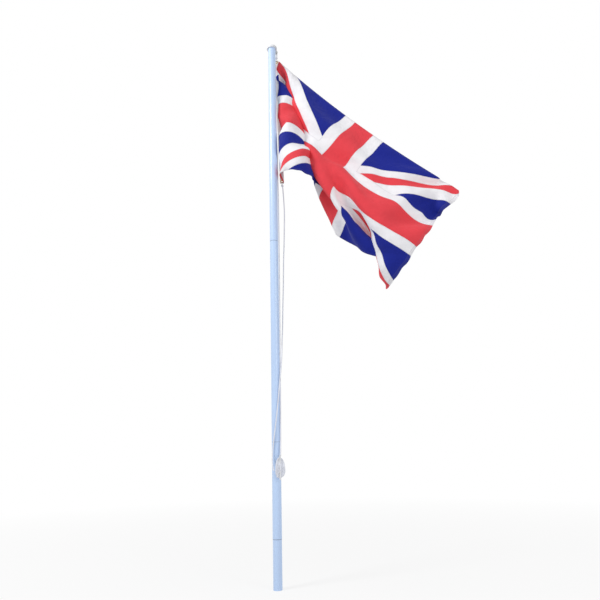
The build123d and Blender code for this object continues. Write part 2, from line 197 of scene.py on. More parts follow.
def finishMaterial(material, bumps, **surface):
    # gives a material its surface; bumps are pairs of a height and how far it stands out in metres
    normal = None
    for height, distance in bumps:
        normal = addNode(material, "Bump", Height=height, Distance=distance, Strength=1.0, Normal=normal)
    skin = addNode(material, "BsdfPrincipled", Normal=normal, **surface)
    addNode(material, "OutputMaterial", skin)
    return material


# the camera, fitted to the pole's edges, its joints and its lean in the picture
cameraPlace = {
    "at": (0.151, -3.105, 0.716), "lookUp": 15.2, "roll": -1.378, "lens": 32.4, "sensor": 36.0, "reach": 200.0,
}
camera = bpy.data.cameras.new("camera")
camera.lens, camera.sensor_width, camera.clip_end = cameraPlace["lens"], cameraPlace["sensor"], cameraPlace["reach"]
cameraHolder = bpy.data.objects.new("camera", camera)
bpy.context.scene.collection.objects.link(cameraHolder)
tilt, roll = radians(cameraPlace["lookUp"]), radians(cameraPlace["roll"])
forward = np.array([0, cos(tilt), sin(tilt)])
upward = np.array([0, -sin(tilt), cos(tilt)])
rightward = np.array([1.0, 0, 0])
imageRight = rightward * cos(roll) + upward * sin(roll)
imageUp = -rightward * sin(roll) + upward * cos(roll)
turned = Matrix([[imageRight[k], imageUp[k], -forward[k]] for k in range(3)]).to_4x4()
cameraHolder.matrix_world = Matrix.Translation(cameraPlace["at"]) @ turned
bpy.context.scene.camera = cameraHolder
print("camera placed")


# The halyard's rope: polyester laid of three strands. Its sizes are in metres, its groove and rounded end are
# shares of its radius, and the width of its stains is in mm.
halyard = {
    "diameter": 0.007, "lay": 0.021, "strands": 3, "groove": 0.22, "endRound": 0.75, "sides": 18, "ringStep": 0.0026,
    # the groove's share and colour are painted shade between the strands, and the three colours are tinted faintly
    # blue as painted sky shade
    "yarn": 0.00061, "yarnSlope": 30.0, "grooveShadeShare": 0.7, "stain": 17, "stainLevel": 0.5, "stainShare": 1.4,
    "colour": "#F3F5FD", "grooveShadeColour": "#D2D8E8", "dirt": "#BDBFC9",
}


def ropeMaterial():
    # laid polyester rope: satin white fibres that lie along the strands, with painted shade where the strands meet
    material = newMaterial("polyesterLaidRope")
    add = partial(addNode, material)
    place = add("TexCoord")
    turn, along = add("SeparateXYZ", place.outputs["UV"]).outputs[:2]
    strand = add("Math MULTIPLY", turn, halyard["strands"] / 2 * 2 * pi)
    lobe = add("Math ABSOLUTE", add("Math COSINE", strand))
    groove = add("Math SUBTRACT", 1.0, lobe, use_clamp=True)
    # yarns 0.61 mm apart, at the strands' own slope
    yarns = round(pi * halyard["diameter"] / halyard["yarn"])
    yarn = add("Math SINE", add("Math ADD", add("Math MULTIPLY", turn, yarns * 2 * pi),
                                add("Math MULTIPLY", along, halyard["yarnSlope"])))
    # painted shade in the grooves where the strands meet
    grooveShaded = add("Mix RGBA", add("Math MULTIPLY", groove, halyard["grooveShadeShare"]),
               linear(halyard["colour"]), linear(halyard["grooveShadeColour"]))
    cloud = add("TexNoise", place.outputs["Object"], Scale=perMetre(halyard["stain"]), Detail=4.0)
    stain = soiledShare(material, cloud, halyard["stainLevel"], halyard["stainShare"])
    colour = add("Mix RGBA", stain, grooveShaded, linear(halyard["dirt"]))
    return finishMaterial(material, [(yarn, 0.00012), (lobe, 0.0004)], Base_Color=colour,
                          IOR=1.57, Roughness=0.72, Sheen_Weight=0.25, Sheen_Roughness=0.5)


ropeFibre = ropeMaterial()


def ringPoint(azimuth, radial, z):
    # a point given by its angle round the pole from x, its distance from the axis and its height, in mm
    a = radians(azimuth)
    return (radial * cos(a) / 1000, radial * sin(a) / 1000, z / 1000)


def millimetres(points):
    # points given in mm, in metres
    return [tuple(c / 1000 for c in p) for p in points]


# over the sheave, down beside the pole and round it to the cleat
returnRoute = [
    ringPoint(60, 63, 3348), ringPoint(60, 63, 3360), ringPoint(60, 41, 3360), ringPoint(60, 41, 3290),
    ringPoint(58, 31, 3150), ringPoint(52, 30.8, 2950), ringPoint(45, 31, 2720), ringPoint(25, 31.2, 2430),
    ringPoint(6, 31.2, 2120), ringPoint(-6, 31, 1750), ringPoint(-18, 31.2, 1350), ringPoint(-28, 31, 1000),
    ringPoint(-35, 31.5, 800), ringPoint(-43, 34, 730), *millimetres([(24.5, -30, 697), (24.5, -36, 670.6)]),
]
# from the flag's lower corner, slack, to the cleat
lowerRoute = millimetres([
    (57.1, 55.5, 2331), (60, 53, 2280), (65, 49, 2200), (66, 44, 2110), (63, 39, 2015), (61, 35, 1920),
    (56, 29, 1825), (54.5, 23, 1725), (52, 18, 1625), (48, 13, 1525), (46, 7, 1425), (41.5, 0, 1330),
    (39, -11.5, 1235), (33.5, -21.5, 1150), (22, -26.5, 1050), (13, -29.5, 950), (3, -31, 865),
    (-8, -31, 785), (-16, -27.5, 720), (-20, -29, 680), (-21, -37, 645), (-18.5, -48, 618), (-12, -56.4, 594),
])
# from the sheave to the flag's upper corner
upperRoute = millimetres([(31.5, 54.56, 3347.7), (31.5, 54.56, 3340), (31.5, 54.56, 3323), (31.2, 54.8, 3313.5)])
halyardReturn, returnLine = ropeTube("halyard_return", routeLine("returnRoute", returnRoute), halyard, ropeFibre)
halyardLower, lowerLine = ropeTube("halyard_lower", routeLine("lowerRoute", lowerRoute), halyard, ropeFibre)
finerRope = {**halyard, "ringStep": 0.001}  # for the short leg
halyardUpper = ropeTube("halyard_upper", routeLine("upperRoute", upperRoute), finerRope, ropeFibre)[0]

# The spare rope on the cleat, in mm: figure-eight turns round its horns, then long loops hung over them. Growth,
# loss and steps are for each whole turn, and a layer is what each turn lies further out than the one before.
windings = {
    "azimuth": -65, "height": 610, "bar": 49, "perTurn": 12, "layer": 1.6,
    "eights": 1, "horn": 25, "hornGrowth": 5.0, "spread": 5, "spreadLoss": 1.5,
    "eightBehind": 9.3, "eightFront": 10.0,
    "loops": 5, "tail": 7, "loopHalf": 38, "loopGrowth": 3.4, "rightLeg": 8.0, "rightStep": 3.8,
    "leftLeg": -3.5, "leftStep": 5.8, "foot": 0.5, "loopBehind": 9.5, "loopFront": 9.0,
}


def cleatPoint(side, rise, out):
    # a point beside the cleat: along its width, up the pole and away from the pole's axis, in mm
    a = radians(windings["azimuth"])
    x, y = out * cos(a) - side * sin(a), out * sin(a) + side * cos(a)
    return (x / 1000, y / 1000, (windings["height"] + rise) / 1000)


def windingRoute():
    # a figure eight: the height is a cosine of the turn's angle and the side a sine of twice it, and the
    # distance from the pole is behind the bar at the horns and in front of it at the crossing
    points = []
    bar, perTurn = windings["bar"], windings["perTurn"]
    for k in range(windings["eights"] * perTurn):
        a, layer = 2 * pi * k / perTurn, k / perTurn
        front = abs(sin(a)) ** 1.5
        side = (windings["spread"] - windings["spreadLoss"] * layer) * sin(2 * a)
        rise = (windings["horn"] + windings["hornGrowth"] * layer) * cos(a)
        outermost = windings["eightFront"] + windings["layer"] * layer
        points.append(cleatPoint(side, rise, bar - windings["eightBehind"] * (1 - front) + outermost * front))
    # then long loops over both horns, round at the foot: each lies a rope's width outside the one before
    for k in range((windings["loops"] - 1) * perTurn + windings["tail"] + 1):
        a, layer = 2 * pi * k / perTurn, k / perTurn
        right = windings["rightLeg"] + windings["rightStep"] * layer
        left = windings["leftLeg"] - windings["leftStep"] * layer
        across = sin(a) if cos(a) > 0 else sin(a) * (1 + windings["foot"] * abs(cos(a)))
        side = (right - left) / 2 * across + (right + left) / 2 * sin(a) ** 2
        rise = (windings["loopHalf"] + windings["loopGrowth"] * layer) * cos(a)
        outermost = windings["loopFront"] + windings["layer"] * layer
        points.append(cleatPoint(side, rise, bar - windings["loopBehind"] + outermost * abs(sin(a))))
    return points


windingPoints = windingRoute()
halyardTurns, turnsLine = ropeTube("halyard_turns_rope", routeLine("windingRoute", windingPoints), halyard, ropeFibre)
print("halyard made", len(windingPoints), "points in the turns")


# The flag: a woven polyester sheet hung from its heading and folded by the wind. Places on the cloth are (u, v):
# u is 0 at the heading and 50 at the fly, v is 0 at the top and 30 at the bottom, so that one unit is 31.4 mm.
flag = {
    # size in metres, units across it, and the points on which it is first settled and then finished
    "length": 1.57, "width": 0.942, "thickness": 0.0009, "unitsU": 50, "unitsV": 30,
    "coarseGrid": (51, 31), "fineGrid": (101, 61),
    # its two straight edges in mm: down the heading, and along the top as far as the unit where it goes slack
    "upperCorner": (40.5, 58.0, 3289.0), "lowerCorner": (66.5, 58.0, 2357.0),
    "tautEnd": (1074.0, 48.0, 2361.0), "tautUnit": 44, "sag": (-26.0, -8.0, -29.0),
    # how it settles on each grid, as shares of what each move asks
    "coarse": {"steps": 500, "hold": 0.3, "stiff": 0.3}, "fine": {"steps": 600, "hold": 0.12, "stiff": 0.2},
    "easedPins": 0.5, "diagonal": 0.35, "haste": 1.5, "depthFreedom": 0.85, "topHold": 0.3,
    # the pattern's colours, its middle lines and the half widths of its bands in units, how far the red stripes
    # are shifted, and how much and how often its edges waver
    "blue": "#0A1D8A", "red": "#E6424C", "white": "#F3F2F6", "middleU": 25.0, "centreV": 15.1, "halfV": 15.0,
    "redUpright": 2.4, "redLevel": 3.0, "whiteUpright": 5.0, "whiteLevel": 5.15, "whiteDiagonal": 3.42,
    "redDiagonal": 1.05, "redShift": 0.55, "waver": 0.18, "waves": 9.0,
    # seams, hems and stitches in units, and how dark the stitches and the hem look
    "seam": 0.15, "ridge": 0.08, "flyHem": 49.2, "edgeHem": 0.38, "stitchRows": (49.28, 49.75), "stitchWidth": 0.05,
    "stitchesPerUnit": 8.0, "stitch": 0.66, "stitchColour": "#6E6A78", "stitchShare": 0.22,
    "hemColour": "#5A5866", "hemShare": 0.10, "hemHeight": 0.8,
    # the weave's threads in metres, and crumples and grime in mm
    "thread": 0.0016, "crumple": 38, "grime": 155, "grimeLevel": 0.45, "grimeShare": 0.45, "grimeColour": "#8D8794",
}
# Each fold holds some places (u, v) at a point x, y, z in mm. The places were picked on ridges, valleys
# and lines of the pattern. Another program worked out their points: on the camera's line of sight, at a depth y
# that was judged and in the last four folds then mixed with the depth of an earlier settled cloth. They hold
# firmly across the line of sight and only lightly along it, where the cloth finds its own depth.
folds = {
    "wrap": [(1, 5, 30, 30, 3090), (1.5, 10, 25, 20, 2965), (1.5, 15, 25, 20, 2825), (1.5, 20, 30, 20, 2670),
        (1.5, 25, 35, 20, 2540)],
    "corner": [(2.5, 27.5, 50, 20, 2460)],
    "belly": [(3, 18, 95, -15, 2765), (5.5, 24.5, 115, -65, 2545), (8, 25, 195, -50, 2540),
        (5, 30, 85, -50, 2390), (7.5, 30, 150, -70, 2375), (10, 30, 205, -50, 2360)],
    "frontEdge": [(1.8, 5, 65, 30, 3095), (3.4, 10, 100, 20, 2990), (5.4, 15, 145, 0, 2825),
        (7.2, 18, 180, -5, 2705), (8.4, 20.3, 195, -10, 2620), (10.6, 25, 225, -20, 2500),
        (12.4, 30, 240, -25, 2345)],
    "tuck": [(3.6, 5, 85, 100, 3100), (8.5, 10, 135, 170, 2990), (12.5, 15, 190, 180, 2785),
        (15.2, 20, 255, 185, 2595), (17.5, 25, 320, 185, 2455), (20, 30, 385, 185, 2305)],
    "behind": [(5.8, 5, 80, 50, 3055), (11, 8, 140, 55, 2880), (14, 10, 170, 50, 2770),
        (17, 12, 205, 40, 2660), (20, 15, 230, 35, 2535), (21.3, 18, 240, 30, 2440)],
    "main": [(9.2, 5, 145, 40, 2975), (17.4, 10, 230, 30, 2690), (20, 8.6, 320, 10, 2665),
        (22.6, 12.1, 310, 10, 2530), (27.4, 12.1, 450, 5, 2435), (30, 8.6, 560, 15, 2450),
        (34.25, 9.95, 635, 15, 2335), (39.1, 9.95, 765, -5, 2220), (42.7, 9.95, 845, -5, 2165),
        (46.4, 9.95, 935, 40, 2130)],
    "rolled": [(22.6, 23.3, 305, 60, 2300), (22.6, 25, 285, 80, 2260), (27.4, 21.7, 375, -10, 2185),
        (27.4, 25.8, 405, 70, 2140), (27.4, 28.2, 375, 105, 2080), (27.4, 30, 385, 155, 2080),
        (30, 23.6, 435, 45, 2115), (30, 27.5, 440, 110, 2075), (30, 30, 415, 150, 2015)],
    "lower": [(27.4, 18.1, 395, -30, 2270), (30, 21.4, 425, 25, 2170), (34.5, 24.1, 515, 50, 2075),
        (39.45, 20.25, 600, 5, 2005), (38.6, 23.4, 615, 110, 2005), (37.9, 26.2, 615, 80, 1970),
        (33, 26, 485, 55, 2015), (34.2, 30, 525, 120, 1930), (38.5, 30, 625, 105, 1860)],
    "fly": [(44.3, 0, 1060, 55, 2365), (47.3, 0, 1150, 60, 2315), (50, 0, 1175, 35, 2265),
        (50, 3.42, 1110, 30, 2170), (50, 5, 1085, 30, 2145), (50, 6.7, 1060, 40, 2125),
        (50, 8.3, 1040, 45, 2100), (50, 9.95, 1020, 50, 2080), (50, 12.1, 985, 15, 2025),
        (50, 15, 925, -5, 1950), (50, 18.1, 870, -5, 1880), (50, 20.25, 835, 10, 1830),
        (50, 23.4, 790, 55, 1770), (50, 26.6, 735, 105, 1705), (50, 28.4, 715, 155, 1685),
        (50, 30, 695, 195, 1670), (45, 23.6, 670, 55, 1850), (45, 27.4, 660, 110, 1790),
        (42, 30, 665, 140, 1850), (45, 30, 685, 175, 1795), (48, 30, 695, 195, 1730)],
}


def edgeLine(count, end, sag=(0, 0, 0)):
    # an edge from the cloth's upper hoist corner: a straight line with a sag of 4 f (1 - f) along it
    f = np.linspace(0, 1, count)[:, None]
    start = np.array(flag["upperCorner"])
    return start + (np.array(end) - start) * f + 4 * f * (1 - f) * np.array(sag)


def hoistLine(count):
    # the edge sewn into the heading
    return edgeLine(count, flag["lowerCorner"])


def topLine(count):
    # the top edge, which its upper corner pulls nearly straight
    return edgeLine(count, flag["tautEnd"], flag["sag"])


def swell(distance):
    # what a pin adds to the surface at a distance from it
    return distance ** 2 * np.log(distance + 1e-9)


def throughPins(pins, nu, nv):
    # the smoothest surface through the pins: each pin adds r squared times log r, plus a plane
    unitsU, unitsV = flag["unitsU"], flag["unitsV"]
    hoist, top = hoistLine(unitsV + 1), topLine(flag["tautUnit"] + 1)
    hoistPins = [(0, v, *hoist[v]) for v in range(0, unitsV + 1, 5)]
    topPins = [(u, 0, *top[u]) for u in range(4, flag["tautUnit"] + 1, 4)]
    spots = np.array(hoistPins + topPins + pins, float)
    where, goal = spots[:, :2], spots[:, 2:]
    count = len(where)
    plane = np.hstack([np.ones((count, 1)), where])
    between = swell(np.linalg.norm(where[:, None] - where[None], axis=2))
    left = np.block([[between + np.eye(count) * flag["easedPins"], plane], [plane.T, np.zeros((3, 3))]])
    weights = np.linalg.solve(left, np.vstack([goal, np.zeros((3, 3))]))
    u, v = np.meshgrid(np.linspace(0, unitsU, nu), np.linspace(0, unitsV, nv), indexing="ij")
    spread = np.stack([u.ravel(), v.ravel()], 1)
    near = swell(np.linalg.norm(spread[:, None] - where[None], axis=2))
    flat = np.hstack([np.ones((len(spread), 1)), spread])
    return (near @ weights[:count] + flat @ weights[count:]).reshape(nu, nv, 3)


def settleCloth(cloth, pins, steps, hold, stiff):
    # each thread is drawn to its real length and each bend is eased, over and over, while the pins hold:
    # a point moves by the mean of what its threads, its two diagonals and its bends ask
    nu, nv = cloth.shape[:2]
    alongU, alongV = flag["length"] * 1000 / (nu - 1), flag["width"] * 1000 / (nv - 1)
    pinU = np.array([round(p[0] * (nu - 1) / flag["unitsU"]) for p in pins])
    pinV = np.array([round(p[1] * (nv - 1) / flag["unitsV"]) for p in pins])
    goal = np.array([p[2:] for p in pins], float)
    sight = goal - np.array(cameraPlace["at"]) * 1000
    sight /= np.linalg.norm(sight, axis=1, keepdims=True)
    cut = np.s_
    diagonal = np.hypot(alongU, alongV)
    threads = [(cut[:-1, :], cut[1:, :], alongU, 1.0), (cut[:, :-1], cut[:, 1:], alongV, 1.0),
               (cut[:-1, :-1], cut[1:, 1:], diagonal, flag["diagonal"]),
               (cut[1:, :-1], cut[:-1, 1:], diagonal, flag["diagonal"])]
    edge, taut = hoistLine(nv), round(flag["tautUnit"] / flag["unitsU"] * (nu - 1)) + 1
    top = topLine(taut)
    for _ in range(steps):
        move, weight = np.zeros_like(cloth), np.zeros((nu, nv, 1))
        for first, second, rest, strength in threads:
            gap = cloth[second] - cloth[first]
            size = np.linalg.norm(gap, axis=-1, keepdims=True)
            pull = gap * ((size - rest) / np.maximum(size, 1e-6) / 2) * strength
            move[first] += pull
            move[second] -= pull
            weight[first] += strength
            weight[second] += strength
        for axis in (0, 1):
            line, push, share = (np.moveaxis(a, axis, 0) for a in (cloth, move, weight))
            bend = ((line[:-2] + line[2:]) / 2 - line[1:-1]) * stiff
            push[1:-1] += bend
            push[:-2] -= bend / 2
            push[2:] -= bend / 2
            share[1:-1] += stiff
            share[:-2] += stiff / 2
            share[2:] += stiff / 2
        cloth = cloth + move / weight * flag["haste"]
        pull = goal - cloth[pinU, pinV]
        pull -= sight * (pull * sight).sum(1, keepdims=True) * flag["depthFreedom"]
        cloth[pinU, pinV] += pull * hold
        cloth[:taut, 0] += (top - cloth[:taut, 0]) * flag["topHold"]
        cloth[0] = edge
    return cloth


def finerGrid(cloth, nu, nv):
    # the same surface on more points, by a cubic through each four neighbours, first along u and then along v
    for axis, count in ((0, nu), (1, nv)):
        line = np.moveaxis(cloth, axis, 0)
        line = np.concatenate([2 * line[:1] - line[1:2], line, 2 * line[-1:] - line[-2:-1]])
        t = np.linspace(0, len(line) - 3, count)
        k = np.minimum(t.astype(int), len(line) - 4)
        f = (t - k)[:, None, None]
        a, b, c, d = line[k], line[k + 1], line[k + 2], line[k + 3]
        smooth = b + 0.5 * f * (c - a + f * (2 * a - 5 * b + 4 * c - d + f * (3 * (b - c) + d - a)))
        cloth = np.moveaxis(smooth, 0, axis)
    return cloth


pins = [p for fold in folds.values() for p in fold]
cloth = settleCloth(throughPins(pins, *flag["coarseGrid"]), pins, **flag["coarse"])
cloth = settleCloth(finerGrid(cloth, *flag["fineGrid"]), pins, **flag["fine"])
print("flag settled")


def flagMaterial():
    # woven polyester bunting with the Union flag's colours dyed through: a matt plain weave with a faint
    # sheen, sewn seams where the colours meet, a double-stitched hem at the fly, a little fading and grime
    material = newMaterial("wovenPolyesterBunting")
    add = partial(addNode, material)
    place = add("TexCoord")
    u, v = add("SeparateXYZ", place.outputs["UV"]).outputs[:2]
    waver = add("TexNoise", place.outputs["UV"], Scale=flag["waves"], Detail=2.0)
    shift = add("Math MULTIPLY", add("Math SUBTRACT", waver, 0.5), flag["waver"])
    x = add("Math ADD", add("Math MULTIPLY", u, flag["unitsU"]), shift)
    y = add("Math ADD", add("Math MULTIPLY", v, flag["unitsV"]), shift)
    fromMiddle = add("Math ABSOLUTE", add("Math SUBTRACT", x, flag["middleU"]))
    fromCentre = add("Math ABSOLUTE", add("Math SUBTRACT", y, flag["centreV"]))

    def crossOf(upright, level):
        # 1 inside a cross whose bands have these half widths
        return add("Math MAXIMUM", add("Math LESS_THAN", fromMiddle, upright),
                   add("Math LESS_THAN", fromCentre, level))

    def lineAt(value, middle, half):
        # 1 in a narrow line about a middle value
        return add("Math LESS_THAN", add("Math ABSOLUTE", add("Math SUBTRACT", value, middle)), half)

    redCross = crossOf(flag["redUpright"], flag["redLevel"])
    whiteCross = crossOf(flag["whiteUpright"], flag["whiteLevel"])
    # the height above or below the diagonal that crosses this quarter
    slope = add("Math MULTIPLY", x, flag["unitsV"] / flag["unitsU"])
    falling = add("Math SUBTRACT", y, slope)
    rising = add("Math SUBTRACT", add("Math ADD", y, slope), flag["unitsV"])
    hoistHalf = add("Math LESS_THAN", x, flag["middleU"])
    upperHalf = add("Math LESS_THAN", y, flag["halfV"])
    sameSide = add("Math COMPARE", hoistHalf, upperHalf, 0.5)
    offset = add("Math ADD", add("Math MULTIPLY", falling, sameSide),
                 add("Math MULTIPLY", rising, add("Math SUBTRACT", 1.0, sameSide)))
    fromDiagonal = add("Math ABSOLUTE", offset)
    whiteDiagonal = add("Math LESS_THAN", fromDiagonal, flag["whiteDiagonal"])
    # the red stripe lies low on the hoist's half and high on the fly's
    redMiddle = add("Math ADD", add("Math MULTIPLY", hoistHalf, 2 * flag["redShift"]), -flag["redShift"])
    fromRed = add("Math ABSOLUTE", add("Math SUBTRACT", offset, redMiddle))
    redDiagonal = add("Math LESS_THAN", fromRed, flag["redDiagonal"])
    red, white = linear(flag["red"]), linear(flag["white"])
    colour = add("Mix RGBA", whiteDiagonal, linear(flag["blue"]), white)
    colour = add("Mix RGBA", redDiagonal, colour, red)
    colour = add("Mix RGBA", whiteCross, colour, white)
    colour = add("Mix RGBA", redCross, colour, red)

    # grime and fading, in soft patches
    grime = add("TexNoise", place.outputs["Object"], Scale=perMetre(flag["grime"]), Detail=5.0, Roughness=0.6)
    patch = soiledShare(material, grime, flag["grimeLevel"], flag["grimeShare"])
    colour = add("Mix RGBA", patch, colour, linear(flag["grimeColour"]), blend_type="MULTIPLY")

    # seams: a stitched ridge about 5 mm wide along the outline of each cross and of each stripe
    seam, ridge = flag["seam"], flag["ridge"]
    wideRed = crossOf(flag["redUpright"] + seam, flag["redLevel"] + seam)
    narrowWhite = crossOf(flag["whiteUpright"] - seam, flag["whiteLevel"] - seam)
    notCross = add("Math SUBTRACT", 1.0, whiteCross)
    seams = add("Math MAXIMUM", add("Math SUBTRACT", wideRed, redCross),
                add("Math SUBTRACT", whiteCross, narrowWhite))
    for line in (lineAt(fromDiagonal, flag["whiteDiagonal"] - ridge, ridge),
                 lineAt(fromRed, flag["redDiagonal"] + ridge, ridge)):
        seams = add("Math MAXIMUM", seams, add("Math MULTIPLY", line, notCross))
    # the fly's hem: a double fold 25 mm wide with two rows of stitches, and a narrow hem above and below
    edgeHem = add("Math MAXIMUM", add("Math LESS_THAN", y, flag["edgeHem"]),
                  add("Math GREATER_THAN", y, flag["unitsV"] - flag["edgeHem"]))
    hem = add("Math MAXIMUM", add("Math GREATER_THAN", x, flag["flyHem"]), edgeHem)
    rows = add("Math MAXIMUM", *[lineAt(x, row, flag["stitchWidth"]) for row in flag["stitchRows"]])
    stitchStep = add("Math FRACT", add("Math MULTIPLY", add("Math ADD", x, y), flag["stitchesPerUnit"]))
    stitches = add("Math MULTIPLY", add("Math MAXIMUM", seams, rows),
                   add("Math LESS_THAN", stitchStep, flag["stitch"]))
    for name, line in (("stitch", stitches), ("hem", hem)):
        share = add("Math MULTIPLY", line, flag[f"{name}Share"])
        colour = add("Mix RGBA", share, colour, linear(flag[f"{name}Colour"]))

    # plain weave: the product of a sine for the warp and one for the weft. Its threads are drawn 1.6 mm apart,
    # four times the real pitch, so that they show
    warp, weft = (add("Math SINE", add("Math MULTIPLY", way, 2 * pi * round(flag[size] / flag["thread"])))
                  for way, size in ((u, "length"), (v, "width")))
    weave = add("Math MULTIPLY", warp, weft)
    crumple = add("TexNoise", place.outputs["Object"], Scale=perMetre(flag["crumple"]), Detail=3.0, Roughness=0.55)
    height = add("Math ADD", seams, add("Math MULTIPLY", hem, flag["hemHeight"]))
    return finishMaterial(material, [(weave, 0.00009), (crumple, 0.006), (height, 0.0005)], Base_Color=colour,
                          IOR=1.57, Roughness=0.78, Specular_IOR_Level=0.22, Sheen_Weight=0.08, Sheen_Roughness=0.45)


bunting = flagMaterial()
u, v = np.meshgrid(*(np.linspace(0, 1, count) for count in flag["fineGrid"]), indexing="ij")
flagPiece = gridMesh("flag_sheet", cloth / 1000, np.stack([u, v], -1), bunting)
thick = flagPiece.modifiers.new("cloth thickness", "SOLIDIFY")
thick.thickness, thick.offset = flag["thickness"], 0.0
smooth = flagPiece.modifiers.new("smooth folds", "SUBSURF")
smooth.levels = smooth.render_levels = 1
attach(flagPiece, "flag")
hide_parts("flag_cloth")
print("flag made")


# the halyard's knots, drawn into a small ball round each clip: middles in mm, reach and rope radius in metres
knots = {
    "upper": (29.89, 55.5, 3307.2), "lower": (55.11, 55.5, 2338.8), "reach": 0.00506, "spread": 0.42, "rise": 0.75,
    "tube": 0.0026, "groove": 0.10, "rings": 72, "sides": 14,
}


def knotPiece(name, centre):
    # a trefoil: the line turns twice about the knot's middle while it rises and falls three times
    t = np.linspace(0, 2 * pi, knots["rings"], endpoint=False)
    line = knots["reach"] * np.stack([
        (np.sin(t) + 2 * np.sin(2 * t)) * knots["spread"],
        (np.cos(t) - 2 * np.cos(2 * t)) * knots["spread"],
        -np.sin(3 * t) * knots["rise"],
    ], 1)
    ahead = np.roll(line, -1, 0) - np.roll(line, 1, 0)
    ahead /= np.linalg.norm(ahead, axis=1, keepdims=True)
    side = np.cross(ahead, (0, 0, 1.0))
    side /= np.linalg.norm(side, axis=1, keepdims=True)
    around = np.linspace(0, 2 * pi, knots["sides"], endpoint=False)
    lobes = np.abs(np.cos(halyard["strands"] / 2 * (around[None] - 4 * t[:, None])))
    radius = knots["tube"] * (1 - knots["groove"] * (1 - lobes))
    points = ringsAlong(line, side, np.cross(ahead, side), around, radius)
    a, b = np.meshgrid(np.linspace(0, 6, len(t) + 1), np.linspace(0, 1, len(around) + 1), indexing="ij")
    uv = np.stack([b - a / 3, a], -1)
    return gridMesh(name, points + np.array(centre) / 1000, uv, ropeFibre, wrapU=True, wrapV=True)


for name in ("upper", "lower"):
    knot = knotPiece(f"{name}_rope_knot", knots[name])
    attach(knot, "flag")
    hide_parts(f"{name}_knot")

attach(halyardReturn, "pole")
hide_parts("halyard_return_leg")
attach(halyardTurns, "pole")
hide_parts("halyard_turns")
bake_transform(halyardLower)
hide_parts("halyard_lower_leg")
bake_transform(halyardUpper)
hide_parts("halyard_upper_leg")
print("ropes declared", *(round(lineLength(line), 3) for line in (returnLine, lowerLine, turnsLine)))


# The metal and plastic pieces keep their CAD shapes and get their finishes. On the tubes the widths of the
# patterns are in mm, the heights of the joints in metres with how dark each is, and jointLine in metres.
tubePaint = {
    # the white paint's colours are tinted light blue as painted sky shade
    "colour": "#C1D9FB", "streakColour": "#A4B1D2", "speckColour": "#7F8698", "grimeColour": "#4C5264",
    "streakWidth": 45, "streakLength": 625, "streakLevel": 0.47, "streakShare": 0.8,
    "speck": 2.4, "speckLevel": 0.70, "speckShare": 0.35, "peel": 3.8, "roughness": 0.24, "chalk": 0.22,
    "joints": {0.245: 0.65, 0.745: 0.35, 1.935: 0.65}, "jointLine": 0.003,
}


def enamelledSteel():
    # stove-enamelled steel tube: glossy white paint, coloured light blue as painted sky shade, with faint drawn
    # streaks, chalky dulling and grime specks
    material = newMaterial("stoveEnamelledTube")
    add = partial(addNode, material)
    place = add("TexCoord").outputs["Object"]
    width, length = perMetre(tubePaint["streakWidth"]), perMetre(tubePaint["streakLength"])
    drawn = add("Mapping", place, Scale=(width, width, length))
    clouds = add("TexNoise", drawn, Scale=1.0, Detail=5.0, Roughness=0.6)
    rain = soiledShare(material, clouds, tubePaint["streakLevel"], tubePaint["streakShare"])
    dirty = add("Mix RGBA", rain, linear(tubePaint["colour"]), linear(tubePaint["streakColour"]))
    grit = add("TexNoise", place, Scale=perMetre(tubePaint["speck"]), Detail=2.0)
    specks = add("Math MULTIPLY", add("Math GREATER_THAN", grit, tubePaint["speckLevel"]), tubePaint["speckShare"])
    colour = add("Mix RGBA", specks, dirty, linear(tubePaint["speckColour"]))
    # grime gathers in the joints between the tubes, in a line 3 mm high
    height = add("SeparateXYZ", place).outputs[2]
    for joint, strength in tubePaint["joints"].items():
        away = add("Math ABSOLUTE", add("Math SUBTRACT", height, joint))
        line = add("Math SUBTRACT", 1.0, add("Math MULTIPLY", away, 1 / tubePaint["jointLine"]), use_clamp=True)
        colour = add("Mix RGBA", add("Math MULTIPLY", line, strength), colour, linear(tubePaint["grimeColour"]))
    rough = add("Math ADD", add("Math MULTIPLY", clouds, tubePaint["chalk"]), tubePaint["roughness"])
    peel = add("TexNoise", place, Scale=perMetre(tubePaint["peel"]), Detail=1.0)
    return finishMaterial(material, [(peel, 0.00006)], Base_Color=colour, IOR=1.5, Roughness=rough,
                          Coat_Weight=0.25, Coat_Roughness=0.12)


metalLook = {
    "tarnish": 11, "tarnishLevel": 0.4, "tarnishShare": 2.0, "lineStretch": 30,
    "roughSpread": 0.25, "roughDrop": 0.12,
}


def brushedMetal(name, colour, darker, roughness, lineWidth):
    # drawn or plated metal: fine lines along the pole's axis, lineWidth mm apart, and tarnish in small patches
    material = newMaterial(name)
    add = partial(addNode, material)
    place = add("TexCoord").outputs["Object"]
    width, length = perMetre(lineWidth), perMetre(lineWidth) / metalLook["lineStretch"]
    lines = add("TexNoise", add("Mapping", place, Scale=(width, width, length)), Scale=1.0, Detail=4.0)
    cloud = add("TexNoise", place, Scale=perMetre(metalLook["tarnish"]), Detail=4.0)
    tarnish = soiledShare(material, cloud, metalLook["tarnishLevel"], metalLook["tarnishShare"])
    tone = add("Mix RGBA", tarnish, linear(colour), linear(darker))
    # the noise is about 0.5, so half of what it spreads comes off the metal's own roughness
    rough = add("Math ADD", add("Math MULTIPLY", lines, metalLook["roughSpread"]), roughness - metalLook["roughDrop"])
    return finishMaterial(material, [(lines, 0.00003)], Base_Color=tone, Metallic=1.0, Roughness=rough)


nylonLook = {"pebble": 0.7, "grime": 18, "grimeLevel": 0.46, "grimeShare": 1.6, "roughSpread": 0.2, "roughDrop": 0.1}


